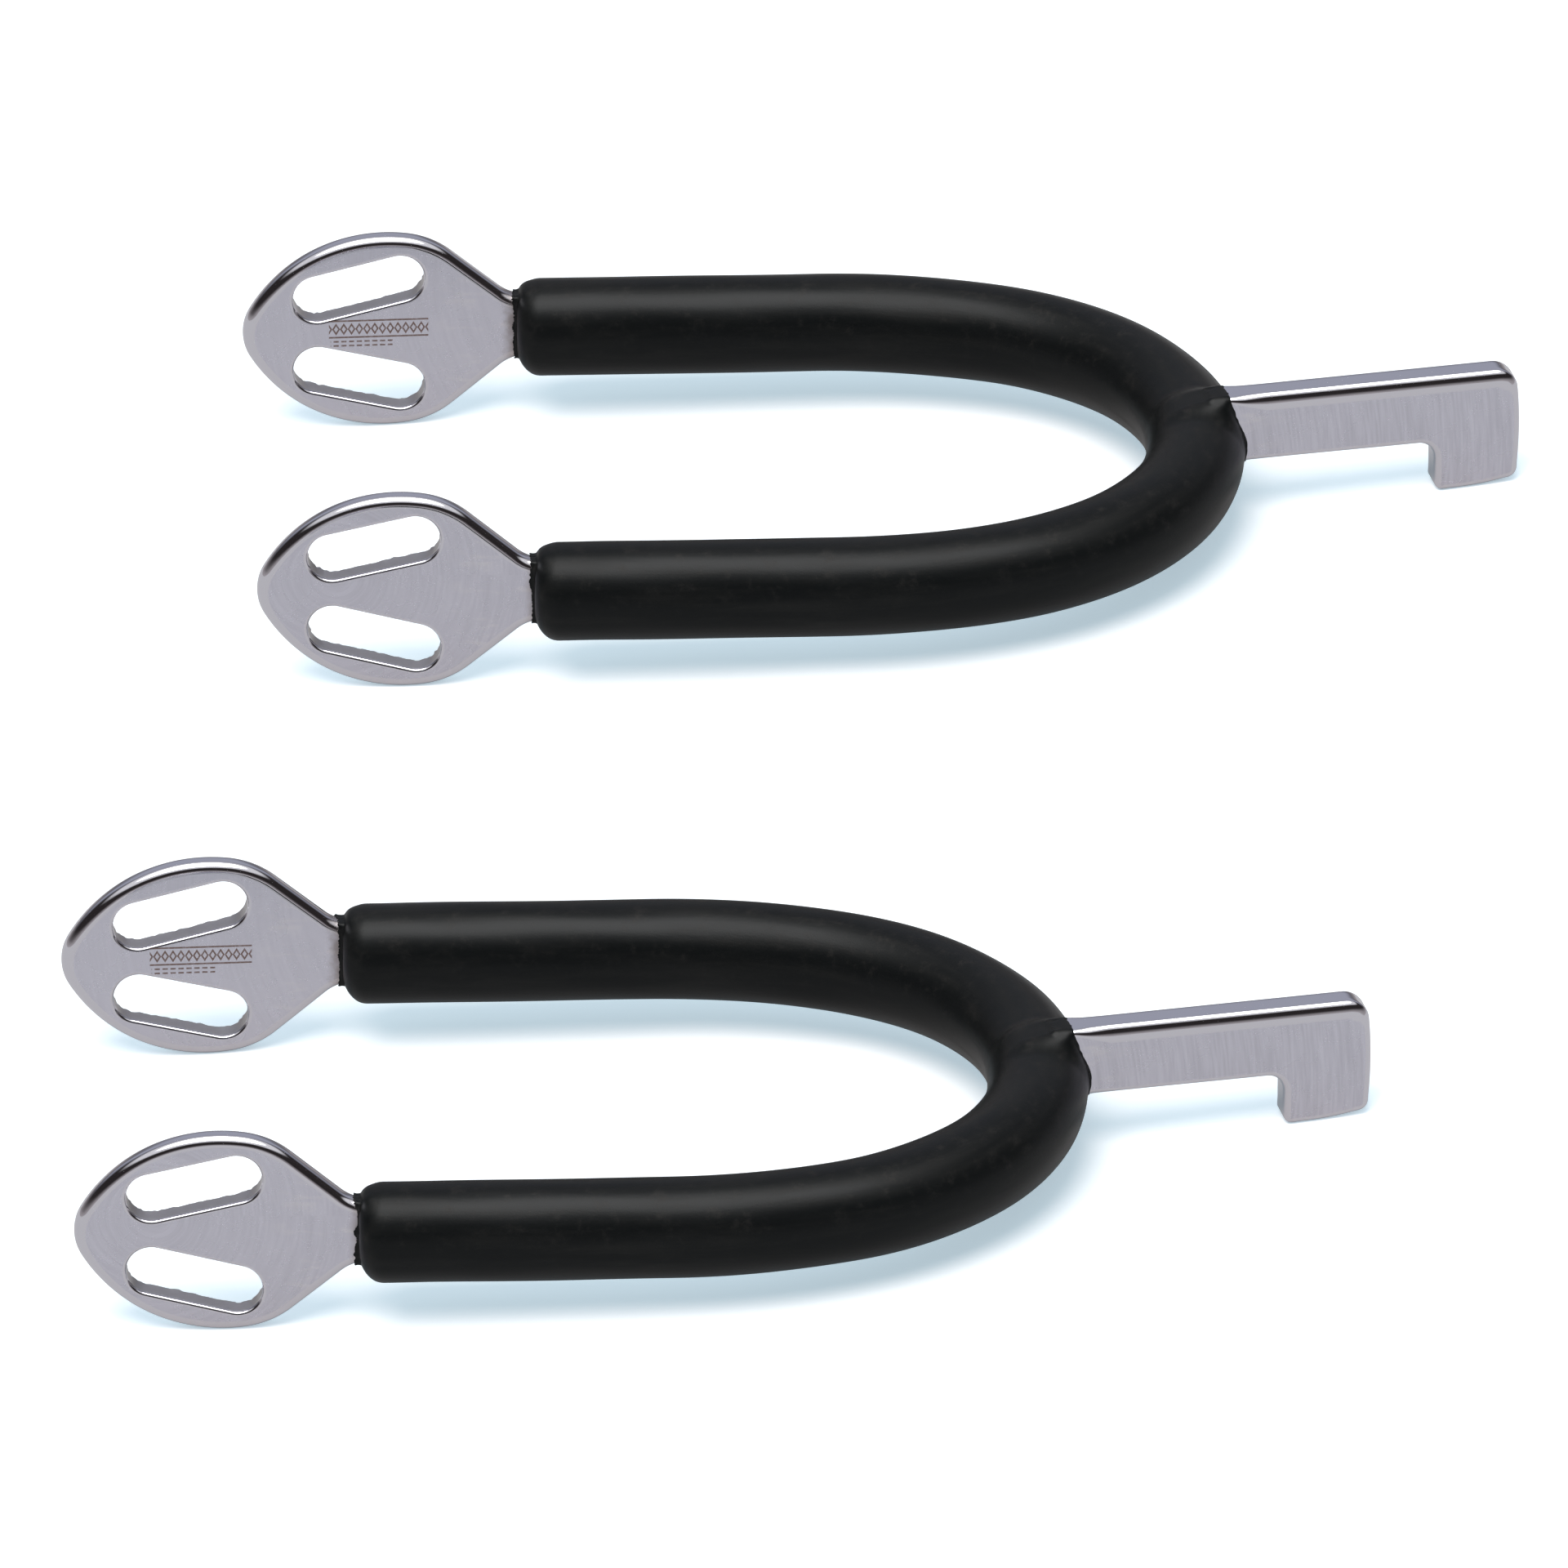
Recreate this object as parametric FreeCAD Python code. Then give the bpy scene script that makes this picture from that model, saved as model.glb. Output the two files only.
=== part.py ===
import FreeCAD, Part
import math
import os

# A pair of rubber-covered English riding spurs, standing side by side on a flat surface.
# Each spur is a steel heel rod bent to a U, a slotted strap plate welded to each end of it,
# a flat neck with a drop end welded to the middle of its heel, and a rubber sleeve moulded
# over the rod. All sizes are in millimetres.
#
# Each spur is drawn in its own frame: +X from the plates towards the neck, +Y across, +Z up,
# the heel's centreline crossing X = 0 and the middle of the rubber tube at Z = 0.

# U-shaped rod and its rubber
rubberDiameter = 12.0
rodDiameter = 7.0
armHalfSpacing = 37.6
heelRadius = 36.0
heelHalfSweep = 70.0
rubberEndX = -81.7
rubberEndRounding = 3.0
collarWall = 0.7
collarReach = 3.9
collarRounding = 0.7

# slotted strap plates
plateLength = 33.6
plateHalfHeight = 12.7
plateThickness = 3.1
plateRimRounding = 1.15
plateRise = 0.45
plateToeIn = 2.0
rootHalfHeight = 3.9
tongueLength = 10.0
tipRadius = 6.2
tipEndAngle = 60.0
shoulderStartAngle = 8.0
shoulderRadius = 11.0
flankAngle = 40.0
rootFilletRadius = 5.0
slotLength = 16.4
slotWidth = 6.0
slotCentreU = 19.4
slotCentreZ = 6.0
slotTilt = 13.6
slotRimRounding = 0.35

# neck with its drop end
neckWidth = 4.4
neckSkew = 11.0
neckTopZ = 7.2
neckBottomZ = -1.6
neckStart = 2.6
neckLength = 39.9
hookThroat = 29.6
hookInnerDrop = 8.0
hookOuterDrop = 7.1
hookBelly = 0.4
noseBulge = 0.45
topCornerRadius = 2.5
throatRadius = 2.0
toeCornerRadius = 1.2
heelCornerRadius = 1.0
neckRimRounding = 0.85

# where the two spurs of the pair stand
pairOffset = (-25.8, -172.9)
levellingSteps = 8

# sizes that differ by less than this count as equal
tolerance = 0.001


def vec(x, y, z=0.0):
    return FreeCAD.Vector(x, y, z)


def lineEdge(a, b):
    return Part.LineSegment(a, b).toShape()


def arcEdge(a, middle, b):
    return Part.Arc(a, middle, b).toShape()


def pointOnCircle(centre, radius, degrees):
    angle = math.radians(degrees)
    return vec(centre.x + radius * math.cos(angle), centre.y + radius * math.sin(angle), centre.z)


# The centreline of the U: a heel arc, a wider shoulder arc tangent to it on each side,
# and a straight arm tangent to each shoulder. It runs from the near arm's end to the far one's.
def heelCentreline(endX):
    sweep = math.radians(heelHalfSweep)
    shoulder = (armHalfSpacing - heelRadius * math.sin(sweep)) / (1.0 - math.sin(sweep))
    heelCentre = vec(-heelRadius, 0.0)
    edges = []
    for side in (-1, 1):
        centre = vec(heelCentre.x - (shoulder - heelRadius) * math.cos(sweep),
                     -side * (shoulder - heelRadius) * math.sin(sweep))
        joinHeel = pointOnCircle(heelCentre, heelRadius, side * heelHalfSweep)
        middle = pointOnCircle(centre, shoulder, side * (heelHalfSweep + 90.0) / 2.0)
        joinArm = vec(centre.x, side * armHalfSpacing)
        armEnd = vec(endX, side * armHalfSpacing)
        run = [(armEnd, None, joinArm), (joinArm, middle, joinHeel)]
        if side > 0:
            run = [(b, m, a) for a, m, b in reversed(run)]
        for a, m, b in run:
            edges.append(arcEdge(a, m, b) if m else lineEdge(a, b))
        if side < 0:
            heelStart = joinHeel
            heelEnd = vec(joinHeel.x, -joinHeel.y)
            edges.append(arcEdge(heelStart, vec(0.0, 0.0), heelEnd))
    return Part.Wire(edges)


# A round bar of the given radius along the centreline.
def roundBar(radius, endX):
    path = heelCentreline(endX)
    start = vec(endX, -armHalfSpacing)
    ring = Part.Wire([Part.Circle(start, vec(1.0, 0.0), radius).toShape()])
    return Part.Solid(path.makePipeShell([ring], True, False))


def heelRod():
    return roundBar(rodDiameter / 2.0, rubberEndX + tongueLength)


# Half of a strap plate's outline, from its tip back to its root, as (u, z) points with u
# counted from the rubber's end. The heading turns through each arc in turn, and the straight
# flank runs down to a hollow fillet at the root.
def plateHalfOutline():
    tipCosine = math.cos(math.radians(tipEndAngle))
    sideRadius = (plateHalfHeight - tipRadius * tipCosine) / (1.0 - tipCosine)
    u = plateLength
    z = 0.0
    pieces = []
    headings = [90.0, tipEndAngle, -shoulderStartAngle, -flankAngle]
    for radius, begin, end in zip((tipRadius, sideRadius, shoulderRadius), headings, headings[1:]):
        middle = (begin + end) / 2.0
        points = [(u, z)]
        for heading in (middle, end):
            points.append((u - radius * (math.sin(math.radians(begin)) - math.sin(math.radians(heading))),
                           z + radius * (math.cos(math.radians(heading)) - math.cos(math.radians(begin)))))
        pieces.append(points)
        u, z = points[-1]
    flank = math.radians(flankAngle)
    filletEnd = rootHalfHeight + rootFilletRadius * (1.0 - math.cos(flank))
    filletU = u - (z - filletEnd) / math.tan(flank)
    pieces.append([(u, z), (filletU, filletEnd)])
    points = [(filletU, filletEnd)]
    for part in (0.5, 0.0):
        heading = flank * part
        points.append((filletU - rootFilletRadius * (math.sin(flank) - math.sin(heading)),
                       rootHalfHeight + rootFilletRadius * (1.0 - math.cos(heading))))
    pieces.append(points)
    pieces.append([points[-1], (-tongueLength, rootHalfHeight)])
    return pieces


# A flat strap plate standing upright at one arm's end: outline and slots in the X-Z plane,
# thickness across Y, both rims rounded, then turned a little towards the other arm.
def strapPlate(side):
    half = plateHalfOutline()
    edges = []
    for mirror in (1, -1):
        for points in half:
            corners = [vec(-u, 0.0, mirror * z) for u, z in points]
            edges.append(arcEdge(*corners) if len(corners) == 3 else lineEdge(*corners))
    rootTop = vec(tongueLength, 0.0, rootHalfHeight)
    edges.append(lineEdge(rootTop, vec(tongueLength, 0.0, -rootHalfHeight)))
    outline = Part.Wire(Part.__sortEdges__(edges))
    body = Part.Face(outline).extrude(vec(0.0, plateThickness))
    body.translate(vec(0.0, -plateThickness / 2.0))
    rims = [e for e in body.Edges if onFace(e) and e.BoundBox.XMin < tongueLength - tolerance]
    body = body.makeFillet(plateRimRounding, rims)
    roundedRims = [e.BoundBox.Center for e in body.Edges if onFace(e)]
    for level in (1, -1):
        body = body.cut(strapSlot(level))
    body = body.removeSplitter()
    slotRims = [e for e in body.Edges if onFace(e) and not isAmong(e, roundedRims)]
    body = body.makeFillet(slotRimRounding, slotRims)
    body = body.Solids[0]
    body.rotate(vec(0.0, 0.0), vec(0.0, 0.0, 1.0), side * plateToeIn)
    body.translate(vec(rubberEndX, side * armHalfSpacing, plateRise))
    return body


# An edge that lies in one of the plate's two flat faces.
def onFace(edge):
    box = edge.BoundBox
    flat = box.YLength < tolerance
    return flat and abs(abs(box.Center.y) - plateThickness / 2.0) < tolerance


# An edge that is one of those whose middles are given.
def isAmong(edge, middles):
    return any(edge.BoundBox.Center.distanceToPoint(middle) < tolerance for middle in middles)


# The round-ended prism that cuts one slot. Towards the rubber the two slots lean apart.
def strapSlot(level):
    halfRun = (slotLength - slotWidth) / 2.0
    radius = slotWidth / 2.0
    tool = Part.makeBox(2.0 * halfRun, 2.0 * plateThickness, slotWidth,
                        vec(-halfRun, -plateThickness, -radius))
    for end in (-halfRun, halfRun):
        tool = tool.fuse(Part.makeCylinder(radius, 2.0 * plateThickness,
                                           vec(end, -plateThickness, 0.0), vec(0.0, 1.0, 0.0)))
    tool = tool.removeSplitter()
    tool.rotate(vec(0.0, 0.0), vec(0.0, 1.0, 0.0), -level * slotTilt)
    tool.translate(vec(-slotCentreU, 0.0, level * slotCentreZ))
    return tool


# The neck seen from the side, with its corners still sharp: a level bar that turns down at
# its end, with a slightly full nose and underside. X runs along the neck here.
def neckOutline():
    rootTop = vec(neckStart, 0.0, neckTopZ)
    topCorner = vec(neckLength, 0.0, neckTopZ)
    toe = vec(neckLength, 0.0, -hookOuterDrop)
    hookHeel = vec(hookThroat, 0.0, -hookInnerDrop)
    throat = vec(hookThroat, 0.0, neckBottomZ)
    rootBottom = vec(neckStart, 0.0, neckBottomZ)
    noseMiddle = (topCorner + toe) * 0.5 + vec(noseBulge, 0.0)
    bellyMiddle = (toe + hookHeel) * 0.5 - vec(0.0, 0.0, hookBelly)
    edges = [lineEdge(rootTop, topCorner), arcEdge(topCorner, noseMiddle, toe),
             arcEdge(toe, bellyMiddle, hookHeel), lineEdge(hookHeel, throat),
             lineEdge(throat, rootBottom), lineEdge(rootBottom, rootTop)]
    return Part.Wire(edges)


# The edge that crosses the neck at one corner of its outline.
def cornerEdge(body, x, z):
    def atCorner(edge):
        box = edge.BoundBox
        crosses = box.YLength > neckWidth - tolerance and box.XLength < tolerance
        return crosses and math.hypot(box.Center.x - x, box.Center.z - z) < tolerance
    return [e for e in body.Edges if atCorner(e)]


# An edge round one of the neck's two side faces, all but the edge at its welded root.
def neckRim(edge):
    box = edge.BoundBox
    onSide = box.YLength < tolerance and abs(abs(box.Center.y) - neckWidth / 2.0) < tolerance
    atRoot = box.XLength < tolerance and box.Center.x < neckStart + tolerance
    return onSide and not atRoot


def plainNeck():
    body = Part.Face(neckOutline()).extrude(vec(0.0, neckWidth))
    body.translate(vec(0.0, -neckWidth / 2.0))
    corners = [(neckLength, neckTopZ, topCornerRadius), (neckLength, -hookOuterDrop, toeCornerRadius),
               (hookThroat, -hookInnerDrop, heelCornerRadius), (hookThroat, neckBottomZ, throatRadius)]
    for x, z, radius in corners:
        body = body.makeFillet(radius, cornerEdge(body, x, z))
    return body.makeFillet(neckRimRounding, [e for e in body.Edges if neckRim(e)])


def neck(rod):
    body = plainNeck()
    body.rotate(vec(0.0, 0.0), vec(0.0, 0.0, 1.0), neckSkew)
    return body.cut(rod).Solids[0]


# The rubber tube with rounded ends and a low collar round the neck's root.
def rubberBlank():
    tube = roundBar(rubberDiameter / 2.0, rubberEndX)
    ends = [e for e in tube.Edges
            if e.BoundBox.XLength < tolerance and abs(e.BoundBox.Center.x - rubberEndX) < tolerance]
    tube = tube.makeFillet(rubberEndRounding, ends)
    halfWidth = neckWidth / 2.0 + collarWall
    top = neckTopZ + collarWall
    collar = Part.makeBox(collarReach, 2.0 * halfWidth, top, vec(0.0, -halfWidth))
    rims = [e for e in collar.Edges if e.BoundBox.ZMax > top - tolerance]
    collar = collar.makeFillet(collarRounding, rims)
    collar.rotate(vec(0.0, 0.0), vec(0.0, 0.0, 1.0), neckSkew)
    return tube.fuse(collar)


def rubberSleeve(steel):
    return rubberBlank().cut(steel).Solids[0]


def spurPieces():
    rod = heelRod()
    plates = [strapPlate(side).cut(rod).Solids[0] for side in (-1, 1)]
    shank = neck(rod)
    sleeve = rubberSleeve([rod, shank] + plates)
    return {"heel_rod": rod, "near_strap_plate": plates[0], "far_strap_plate": plates[1],
            "neck": shank, "rubber_sleeve": sleeve}


def turnedAboutY(shape, degrees):
    copy = shape.copy()
    copy.rotate(vec(0.0, 0.0), vec(0.0, 1.0), degrees)
    return copy


def lowest(shape):
    return shape.optimalBoundingBox(False).ZMin


# A spur at rest stands on the undersides of its two plates and on the tip of its neck.
# The turn about Y that brings these level is found by stepping towards it.
def restingTilt(plate, shank):
    span = neckLength - rubberEndX + slotCentreU
    tilt = 0.0
    for step in range(levellingSteps):
        rise = lowest(turnedAboutY(shank, tilt)) - lowest(turnedAboutY(plate, tilt))
        tilt += math.degrees(rise / span)
    return tilt


os.makedirs("parts", exist_ok=True)
spur = spurPieces()
tilt = restingTilt(spur["far_strap_plate"], spur["neck"])
resting = {piece: turnedAboutY(shape, tilt) for piece, shape in spur.items()}
box = Part.Compound(list(resting.values())).optimalBoundingBox(False)
for name, side in (("left", 0.5), ("right", -0.5)):
    shift = vec(-side * pairOffset[0] - box.Center.x, -side * pairOffset[1] - box.Center.y, -box.ZMin)
    for piece, shape in resting.items():
        shape.translated(shift).exportStep("parts/%s_%s.step" % (name, piece))
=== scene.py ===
import math

import bpy
import numpy as np
from mathutils import Matrix, Vector
from mathutils.geometry import delaunay_2d_cdt


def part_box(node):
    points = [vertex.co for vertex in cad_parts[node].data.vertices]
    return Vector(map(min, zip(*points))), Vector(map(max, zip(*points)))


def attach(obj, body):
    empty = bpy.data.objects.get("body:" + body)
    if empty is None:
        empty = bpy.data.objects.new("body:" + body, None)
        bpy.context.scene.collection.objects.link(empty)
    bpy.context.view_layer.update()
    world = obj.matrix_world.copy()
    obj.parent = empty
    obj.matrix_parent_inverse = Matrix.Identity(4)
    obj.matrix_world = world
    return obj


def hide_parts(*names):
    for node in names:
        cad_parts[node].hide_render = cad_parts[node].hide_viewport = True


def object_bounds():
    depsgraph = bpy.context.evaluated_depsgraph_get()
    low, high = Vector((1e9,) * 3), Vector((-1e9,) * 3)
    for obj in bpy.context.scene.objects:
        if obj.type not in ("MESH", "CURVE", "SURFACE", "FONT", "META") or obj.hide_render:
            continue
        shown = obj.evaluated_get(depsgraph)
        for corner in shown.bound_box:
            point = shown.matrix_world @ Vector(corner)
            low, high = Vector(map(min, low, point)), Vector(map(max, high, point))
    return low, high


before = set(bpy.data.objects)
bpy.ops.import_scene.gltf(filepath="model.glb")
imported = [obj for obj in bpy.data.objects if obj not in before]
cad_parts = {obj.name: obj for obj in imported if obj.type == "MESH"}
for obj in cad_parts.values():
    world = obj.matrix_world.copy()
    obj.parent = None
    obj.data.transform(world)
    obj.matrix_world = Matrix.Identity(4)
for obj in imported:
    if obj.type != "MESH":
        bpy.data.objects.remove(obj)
cadBox = [list(corner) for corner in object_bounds()]
print("frame loaded:", len(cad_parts), "nodes")

# Everything is drawn in millimetres in a spur's own frame, +X from the strap plates to the
# neck, the middle of the rubber at Z = 0, and then seated in the row frame in metres.
millimetre = 0.001

heelBar = {
    "rodRadius": 3.5, "rodReach": 71.7,        # steel core, and its run in front of the heel
    "armHalfSpacing": 37.6, "heelRadius": 36.0, "heelHalfSweep": 70.0,
    "rubberEnd": 81.7,                         # rubber's ends, this far in front of the heel
}


# A spur leans on its neck and plates: the lean is the rod's extra height over its reach,
# and the seat is the middle of the rod's heel.
def spurSeat(spur):
    low, high = (np.array(corner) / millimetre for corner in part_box(spur + "_heel_rod"))
    radius = heelBar["rodRadius"]
    lean = math.asin((high[2] - low[2] - 2 * radius) / heelBar["rodReach"])
    return lean, np.array([high[0] - radius, (low[1] + high[1]) / 2, low[2] + radius])


# x' = x cos t + z sin t, z' = z cos t - x sin t, then the shift, then metres
def seated(points, seat):
    lean, shift = seat
    x, y, z = np.moveaxis(points, -1, 0)
    turned = np.stack([x * math.cos(lean) + z * math.sin(lean), y,
                       z * math.cos(lean) - x * math.sin(lean)], axis=-1)
    return (turned + shift) * millimetre


# A wavy line that closes on itself: a sum of cosines of whole turns from low to high,
# each with its own phase, scaled to about -1..1. It keeps its shape for a given seed.
def ripple(angle, seed, low, high):
    turns = np.arange(low, high + 1)
    phase = np.random.default_rng(seed).uniform(0, 2 * math.pi, turns.size)
    waves = np.cos(np.asarray(angle)[..., None] * turns + phase)
    return waves.sum(axis=-1) / math.sqrt(turns.size * 1.5)


# 0 before start, 1 after end, s-shaped between
def easeBetween(value, start, end):
    t = np.clip((value - start) / (end - start), 0, 1)
    return t * t * (3 - 2 * t)


# Quads between neighbouring rings of points, all rings closed.
def bandFaces(rings, around, closed=False):
    ring = np.arange(rings if closed else rings - 1)[:, None]
    point = np.arange(around)[None, :]
    nextRing, nextPoint = (ring + 1) % rings, (point + 1) % around
    corners = [ring * around + point, nextRing * around + point,
               nextRing * around + nextPoint, ring * around + nextPoint]
    return np.stack(np.broadcast_arrays(*corners), axis=-1).reshape(-1, 4)


# Six times a shell's volume is the sum over its triangles of a . (b x c); a shell that comes
# out negative is inside out, so its faces are reversed.
def outwardFaces(points, faces):
    sixVolumes = 0.0
    for group in faces:
        for k in range(1, group.shape[1] - 1):
            a, b, c = points[group[:, 0]], points[group[:, k]], points[group[:, k + 1]]
            sixVolumes += np.einsum("ij,ij->", a, np.cross(b, c))
    return [group if sixVolumes > 0 else group[:, ::-1] for group in faces]


# A mesh object at the origin, with its place in its mesh and its masks as point attributes.
def makePiece(name, points, faces, place, masks, material):
    mesh = bpy.data.meshes.new(name)
    faces = outwardFaces(points, faces)
    mesh.from_pydata(points.tolist(), [], [face for group in faces for face in group.tolist()])
    mesh.attributes.new("place", "FLOAT_VECTOR", "POINT").data.foreach_set(
        "vector", place.astype(np.float32).ravel())
    for mask, values in masks.items():
        mesh.attributes.new(mask, "FLOAT", "POINT").data.foreach_set(
            "value", values.astype(np.float32).ravel())
    mesh.polygons.foreach_set("use_smooth", np.ones(len(mesh.polygons), dtype=bool))
    mesh.materials.append(material)
    mesh.validate()
    mesh.update()
    piece = bpy.data.objects.new(name, mesh)
    bpy.context.scene.collection.objects.link(piece)
    return piece


# Unit normals on the right-hand side of a closed run of points.
def sideNormals(loop):
    along = np.roll(loop, -1, axis=0) - np.roll(loop, 1, axis=0)
    along /= np.linalg.norm(along, axis=1, keepdims=True)
    return np.stack([along[:, 1], -along[:, 0]], axis=1)


# Makes a loop run so that its right-hand normals point out of the steel: counter-clockwise
# for the outline and clockwise for a hole.
def orientedLoop(loop, hole=False):
    x, y = loop.T
    area = np.sum(x * np.roll(y, -1) - np.roll(x, -1) * y) / 2
    return loop if (area > 0) != hole else loop[::-1]


rimShape = {
    "rollSteps": 5, "flatRing": 0.05, "polishFade": 0.5,
    "burrFrom": -0.2,                          # a wall is ragged above this level
    "wallSlack": 0.02,                         # and counts as cut this far past its edges
}


# A loop of a flat piece and its rim, where a plain number holds all along the loop.
def rimmedLoop(outline, radius, width, reach, wallSteps, raggedness=0.0, cutWall=0.0):
    radius, width, reach = (np.broadcast_to(rim, len(outline)) for rim in (radius, width, reach))
    return {"outline": outline, "radius": radius, "width": width, "reach": reach,
            "wallSteps": wallSteps, "raggedness": raggedness, "cutWall": cutWall}


# A flat piece with a worked rim, in its own plane (u, v) and thickness w. Every loop gets the
# same kind of rim, a quarter ellipse: inset d = w (1 - cos a) and depth r (1 - sin a), then a soft
# roll-off of depth h (1 - d/reach)^2 up to the reach. The flat faces are filled between the
# innermost rings by triangulation.
def flatPiece(loops, thickness, rimSteps, rollDepth):
    rim = rimShape
    corner = np.linspace(0, math.pi / 2, rimSteps)
    rolled = np.linspace(0, 1, rim["rollSteps"] + 1)[1:]
    points, faces, polish, cut, innerRings, start = [], [], [], [], [], 0
    for loop in loops:
        outline, radius = loop["outline"], loop["radius"]
        width, reach = loop["width"], loop["reach"]
        normals = sideNormals(outline)
        cornerInset = (1 - np.cos(corner))[:, None] * width
        rollInset = width + rolled[:, None] * (reach - width)
        inset = np.concatenate([cornerInset, rollInset, reach[None] + rim["flatRing"]])
        cornerDepth = (1 - np.sin(corner))[:, None] * radius
        depth = np.concatenate([cornerDepth, np.zeros((rolled.size + 1, radius.size))])
        depth = depth + rollDepth * np.clip(1 - inset / reach, 0, 1) ** 2
        level = thickness / 2 - depth
        walls = np.linspace(-1, 1, loop["wallSteps"] + 2)[1:-1, None] * level[0]
        insets = np.concatenate([inset[::-1], np.zeros_like(walls), inset])
        levels = np.concatenate([-level[::-1], walls, level])
        burr = loop["raggedness"] * easeBetween(levels, rim["burrFrom"], thickness / 2)
        insets = insets + burr * np.clip((reach - insets) / (reach - width), 0, 1)
        ring = outline[None] - normals[None] * insets[..., None]
        rings, around = insets.shape
        points.append(np.concatenate([ring, levels[..., None]], axis=-1).reshape(-1, 3))
        faces.append(bandFaces(rings, around) + start)
        rollPolish = np.clip(1 - rolled / rim["polishFade"], 0, 1)
        fade = np.concatenate([np.ones(corner.size), rollPolish, [0.0]])
        ringPolish = np.concatenate([fade[::-1], np.ones(loop["wallSteps"]), fade])
        onWall = np.abs(levels) < level[0] + rim["wallSlack"]
        polish.append(np.broadcast_to(ringPolish[:, None], insets.shape).ravel())
        cut.append((onWall * loop["cutWall"]).ravel())
        innerRings.append((start, start + (rings - 1) * around, around))
        start += rings * around
    points = np.concatenate(points)
    for side in (0, 1):
        index = np.concatenate([np.arange(ring[2]) + ring[side] for ring in innerRings])
        faces.append(fillBetween(points[index, :2], [ring[2] for ring in innerRings], index, side))
    quads = np.concatenate([group for group in faces if group.shape[1] == 4])
    triangles = np.concatenate([group for group in faces if group.shape[1] == 3])
    return points, [quads, triangles], np.concatenate(polish), np.concatenate(cut)


smallest = 1e-6    # distance under which two points in a face are the same one, in millimetres


# Triangles between the outer ring and the holes, by constrained Delaunay triangulation. A
# triangle is kept if its middle is inside the outer ring and outside every hole.
def fillBetween(points, counts, index, side):
    edges, first = [], 0
    for count in counts:
        ring = np.arange(count) + first
        edges.append(np.stack([ring, np.roll(ring, -1)], axis=1))
        first += count
    flat = [Vector(point) for point in points.tolist()]
    made = delaunay_2d_cdt(flat, np.concatenate(edges).tolist(), [], 0, smallest)
    origin = np.array([sources[0] for sources in made[3]])
    triangles = origin[np.array(made[2])]
    middles = points[triangles].mean(axis=1)
    keep, first = np.ones(len(triangles), dtype=bool), 0
    for number, count in enumerate(counts):
        inside = insideLoop(middles, points[first:first + count])
        keep &= inside if number == 0 else ~inside
        first += count
    triangles = index[triangles[keep]]
    return triangles[:, ::-1] if side else triangles


# A point is inside a loop if a ray from it crosses the loop an odd number of times.
def insideLoop(points, loop):
    a, b = loop[None], np.roll(loop, -1, axis=0)[None]
    x, y = points[:, 0, None], points[:, 1, None]
    spans = (a[..., 1] > y) != (b[..., 1] > y)
    rise = b[..., 1] - a[..., 1]
    crossing = a[..., 0] + (y - a[..., 1]) * (b[..., 0] - a[..., 0]) / np.where(rise == 0, 1, rise)
    return (spans & (x < crossing)).sum(axis=1) % 2 == 1


# Short forms for shader nodes. feed links a socket to a value that is a socket, or sets it.
def feed(tree, socket, value):
    if isinstance(value, bpy.types.NodeSocket):
        tree.links.new(value, socket)
    else:
        socket.default_value = value


def calc(tree, operation, *values, clamp=False):
    node = tree.nodes.new("ShaderNodeMath")
    node.operation, node.use_clamp = operation, clamp
    for socket, value in zip(node.inputs, values):
        feed(tree, socket, value)
    return node.outputs[0]


def vectorCalc(tree, operation, *values, output="Vector"):
    node = tree.nodes.new("ShaderNodeVectorMath")
    node.operation = operation
    for socket, value in zip(node.inputs, values):
        feed(tree, socket, value)
    return node.outputs[output]


def ease(tree, value, start, end, low=0.0, high=1.0):
    node = tree.nodes.new("ShaderNodeMapRange")
    node.interpolation_type = "SMOOTHSTEP"
    for name, setting in (("Value", value), ("From Min", start), ("From Max", end),
                          ("To Min", low), ("To Max", high)):
        feed(tree, node.inputs[name], setting)
    return node.outputs["Result"]


def noise(tree, vector, scale, detail=3.0, roughness=0.55):
    node = tree.nodes.new("ShaderNodeTexNoise")
    for name, setting in (("Vector", vector), ("Scale", scale), ("Detail", detail),
                          ("Roughness", roughness)):
        feed(tree, node.inputs[name], setting)
    return node.outputs["Fac"]


def blendColours(tree, factor, a, b):
    node = tree.nodes.new("ShaderNodeMix")
    node.data_type = "RGBA"
    for socket, value in ((node.inputs[0], factor), (node.inputs[6], a), (node.inputs[7], b)):
        feed(tree, socket, value)
    return node.outputs[2]


def attribute(tree, name, output):
    node = tree.nodes.new("ShaderNodeAttribute")
    node.attribute_name = name
    return node.outputs[output]


def split(tree, vector):
    node = tree.nodes.new("ShaderNodeSeparateXYZ")
    feed(tree, node.inputs[0], vector)
    return node.outputs


def combine(tree, *values):
    node = tree.nodes.new("ShaderNodeCombineXYZ")
    for socket, value in zip(node.inputs, values):
        feed(tree, socket, value)
    return node.outputs[0]


# Products and sums of two, which are most of what the finishes need.
def product(tree, a, b):
    return calc(tree, "MULTIPLY", a, b)


def total(tree, a, b):
    return calc(tree, "ADD", a, b)


# An empty group with its named sockets, and its inner input and output nodes.
def newGroup(name, vectors, numbers, outputs):
    tree = bpy.data.node_groups.new(name, "ShaderNodeTree")
    for label in vectors:
        tree.interface.new_socket(label, in_out="INPUT", socket_type="NodeSocketVector")
    for label, value in numbers.items():
        socket = tree.interface.new_socket(label, in_out="INPUT", socket_type="NodeSocketFloat")
        socket.default_value = value
    for label in outputs:
        tree.interface.new_socket(label, in_out="OUTPUT", socket_type="NodeSocketFloat")
    return tree, tree.nodes.new("NodeGroupInput").outputs, tree.nodes.new("NodeGroupOutput").inputs


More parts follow.
